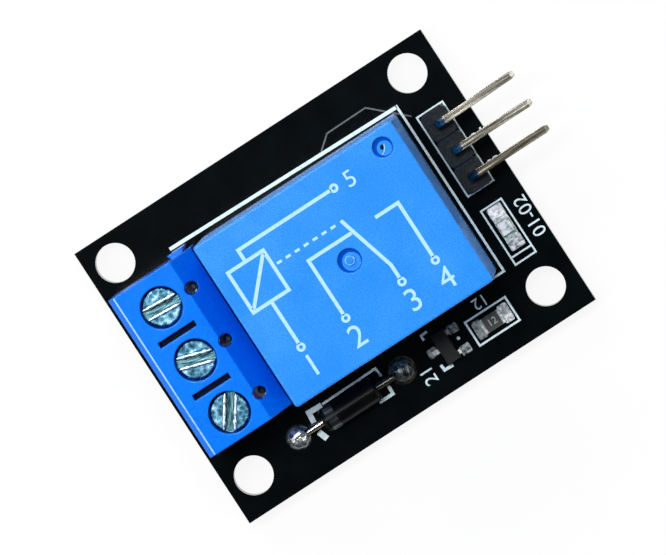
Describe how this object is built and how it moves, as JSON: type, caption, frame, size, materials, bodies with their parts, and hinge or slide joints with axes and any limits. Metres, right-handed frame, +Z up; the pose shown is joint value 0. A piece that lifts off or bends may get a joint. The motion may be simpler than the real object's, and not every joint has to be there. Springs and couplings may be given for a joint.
{
  "type": "relay module board",
  "caption": "Circuit board carrying a boxed power relay, a screw terminal block with rising clamps, a bent pin header, a diode, a transistor and chip parts.",
  "frame": {"origin": "centre of the four mounting holes on the board's underside", "axes": "+X along the board towards the pin header, +Y across the board, +Z up through the relay"},
  "size_m": [0.0386, 0.0265, 0.0185],
  "materials": {
    "black_board": "satin solder mask over glass fibre",
    "relay_blue": "moulded, slight sheen",
    "terminal_blue": "moulded, glossy",
    "black_plastic": "moulded black",
    "tinned_metal": "tinned, bright",
    "solder": "bright solder",
    "zinc_steel": "zinc plated steel",
    "soft_iron": "plated soft iron",
    "brass": "stamped brass",
    "copper_winding": "enamelled copper wire",
    "bobbin_plastic": "moulded natural plastic",
    "silver_contact": "silver alloy",
    "ceramic": "sintered alumina",
    "clear_epoxy": "clear cast epoxy",
    "lamp_substrate": "white laminate"
  },
  "bodies": {
    "board": {"circuit_board": "black_board", "clamp_bar_1": "tinned_metal", "clamp_bar_2": "tinned_metal", "clamp_bar_3": "tinned_metal", "closed_contact": "brass", "closed_contact_button": "silver_contact", "coil_pin_1": "tinned_metal", "coil_pin_2": "tinned_metal", "common_pin": "tinned_metal", "diode_body": "black_plastic", "diode_lead_1": "tinned_metal", "diode_lead_2": "tinned_metal", "diode_solder": "solder", "header_block": "black_plastic", "header_pin_1": "tinned_metal", "header_pin_2": "tinned_metal", "header_pin_3": "tinned_metal", "header_solder": "solder", "lamp_base": "lamp_substrate", "lamp_caps": "tinned_metal", "lamp_die": "silver_contact", "lamp_lens": "clear_epoxy", "lamp_solder": "solder", "open_contact": "brass", "open_contact_button": "silver_contact", "relay_base": "black_plastic", "relay_bobbin": "bobbin_plastic", "relay_core": "soft_iron", "relay_cover": "relay_blue", "relay_solder": "solder", "relay_winding": "copper_winding", "relay_yoke": "soft_iron", "resistor_body": "ceramic", "resistor_caps": "tinned_metal", "resistor_coat": "black_plastic", "resistor_solder": "solder", "terminal_housing": "terminal_blue", "terminal_solder": "solder", "transistor_body": "black_plastic", "transistor_leads": "tinned_metal", "transistor_solder": "solder"},
    "clamp_screw_1": {"clamp_screw_1": "zinc_steel"},
    "clamp_screw_2": {"clamp_screw_2": "zinc_steel"},
    "clamp_screw_3": {"clamp_screw_3": "zinc_steel"},
    "clamp_cage_1": {"clamp_cage_1": "zinc_steel"},
    "clamp_cage_2": {"clamp_cage_2": "zinc_steel"},
    "clamp_cage_3": {"clamp_cage_3": "zinc_steel"},
    "armature": {"relay_armature": "soft_iron", "contact_spring": "brass", "moving_contact": "silver_contact"}
  },
  "joints": [
    {"name": "screw_1_turn", "type": "hinge", "parent": "board", "child": "clamp_screw_1", "pos_m": [-0.01242, 0.0055, 0.0112], "axis": [0, 0, -1], "range_deg": [0, 1761]},
    {"name": "cage_1_rise", "type": "slide", "parent": "board", "child": "clamp_cage_1", "axis": [0, 0, 1], "range_m": [0, 0.0022]},
    {"name": "screw_2_turn", "type": "hinge", "parent": "board", "child": "clamp_screw_2", "pos_m": [-0.01242, 0.00042, 0.0112], "axis": [0, 0, -1], "range_deg": [0, 1761]},
    {"name": "cage_2_rise", "type": "slide", "parent": "board", "child": "clamp_cage_2", "axis": [0, 0, 1], "range_m": [0, 0.0022]},
    {"name": "screw_3_turn", "type": "hinge", "parent": "board", "child": "clamp_screw_3", "pos_m": [-0.01242, -0.00466, 0.0112], "axis": [0, 0, -1], "range_deg": [0, 1761]},
    {"name": "cage_3_rise", "type": "slide", "parent": "board", "child": "clamp_cage_3", "axis": [0, 0, 1], "range_m": [0, 0.0022]},
    {"name": "armature_pull", "type": "hinge", "parent": "board", "child": "armature", "pos_m": [0.00999, 0.00057, 0.01263], "axis": [0, -1, 0], "range_deg": [0, 2.4], "stiffness_Nm_per_rad": 0.01, "springref_deg": -5.73, "deforming": ["contact_spring"]}
  ],
  "couplings": [
    {"joint": "screw_1_turn", "follows": "cage_1_rise", "rad_per_m": 13963},
    {"joint": "screw_2_turn", "follows": "cage_2_rise", "rad_per_m": 13963},
    {"joint": "screw_3_turn", "follows": "cage_3_rise", "rad_per_m": 13963}
  ]
}
